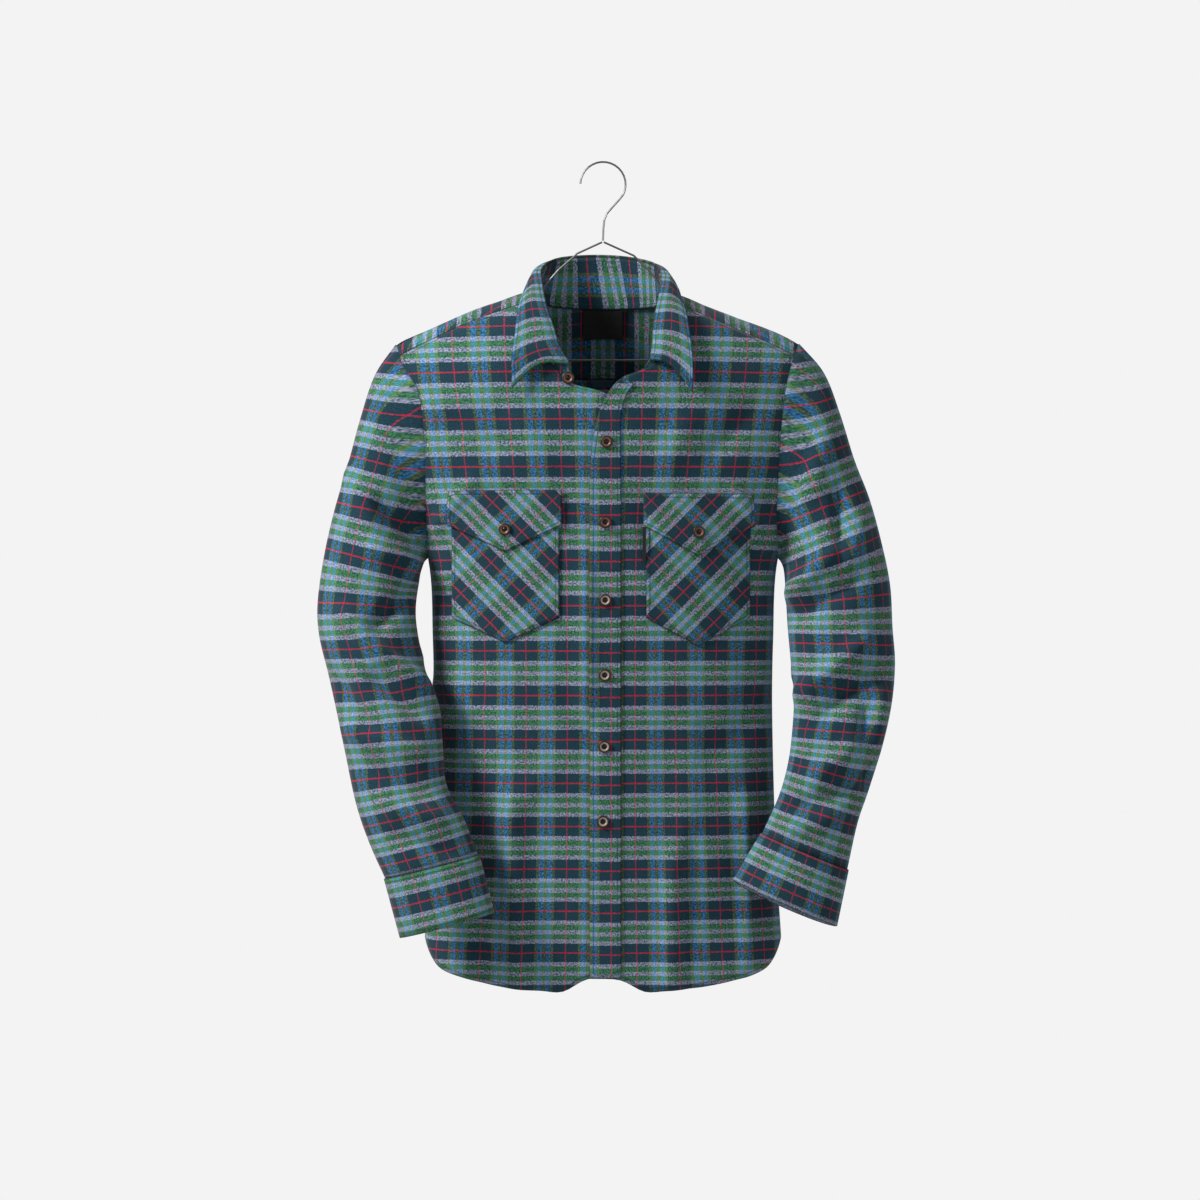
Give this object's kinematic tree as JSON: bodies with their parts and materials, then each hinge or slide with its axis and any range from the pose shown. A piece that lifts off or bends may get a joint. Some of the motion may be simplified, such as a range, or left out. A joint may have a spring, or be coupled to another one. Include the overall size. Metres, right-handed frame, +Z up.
{
  "type": "flannel shirt on a wire hanger",
  "caption": "Long-sleeved plaid flannel shirt with flapped chest pockets, hanging open-necked on a thin wire hanger.",
  "frame": {"origin": "inside of the top of the hanger's hook, where it is held", "axes": "+Z up, the shirt's front faces -Y, +X is the wearer's left"},
  "size_m": [0.67, 0.2134, 0.9636],
  "materials": {
    "flannel": "brushed plaid twill, matte",
    "buttons": "horn-like, satin",
    "label": "black woven tape",
    "wire": "satin metal"
  },
  "bodies": {
    "root": {"front_right": "flannel", "front_left": "flannel", "back": "flannel", "yoke": "flannel", "placket": "flannel", "collar_stand": "flannel", "collar": "flannel", "sleeve_right": "flannel", "sleeve_left": "flannel", "cuff_right": "flannel", "cuff_left": "flannel", "pocket_right": "flannel", "pocket_left": "flannel", "flap_right": "flannel", "flap_left": "flannel", "button_1": "buttons", "button_2": "buttons", "button_3": "buttons", "button_4": "buttons", "button_5": "buttons", "button_6": "buttons", "button_collar": "buttons", "button_flap_right": "buttons", "button_flap_left": "buttons", "button_cuff_right": "buttons", "button_cuff_left": "buttons", "neck_label": "label", "pocket_tab": "label", "hanger_hook": "wire", "hanger_arm_right": "wire", "hanger_arm_left": "wire", "hanger_bar": "wire"}
  },
  "joints": []
}
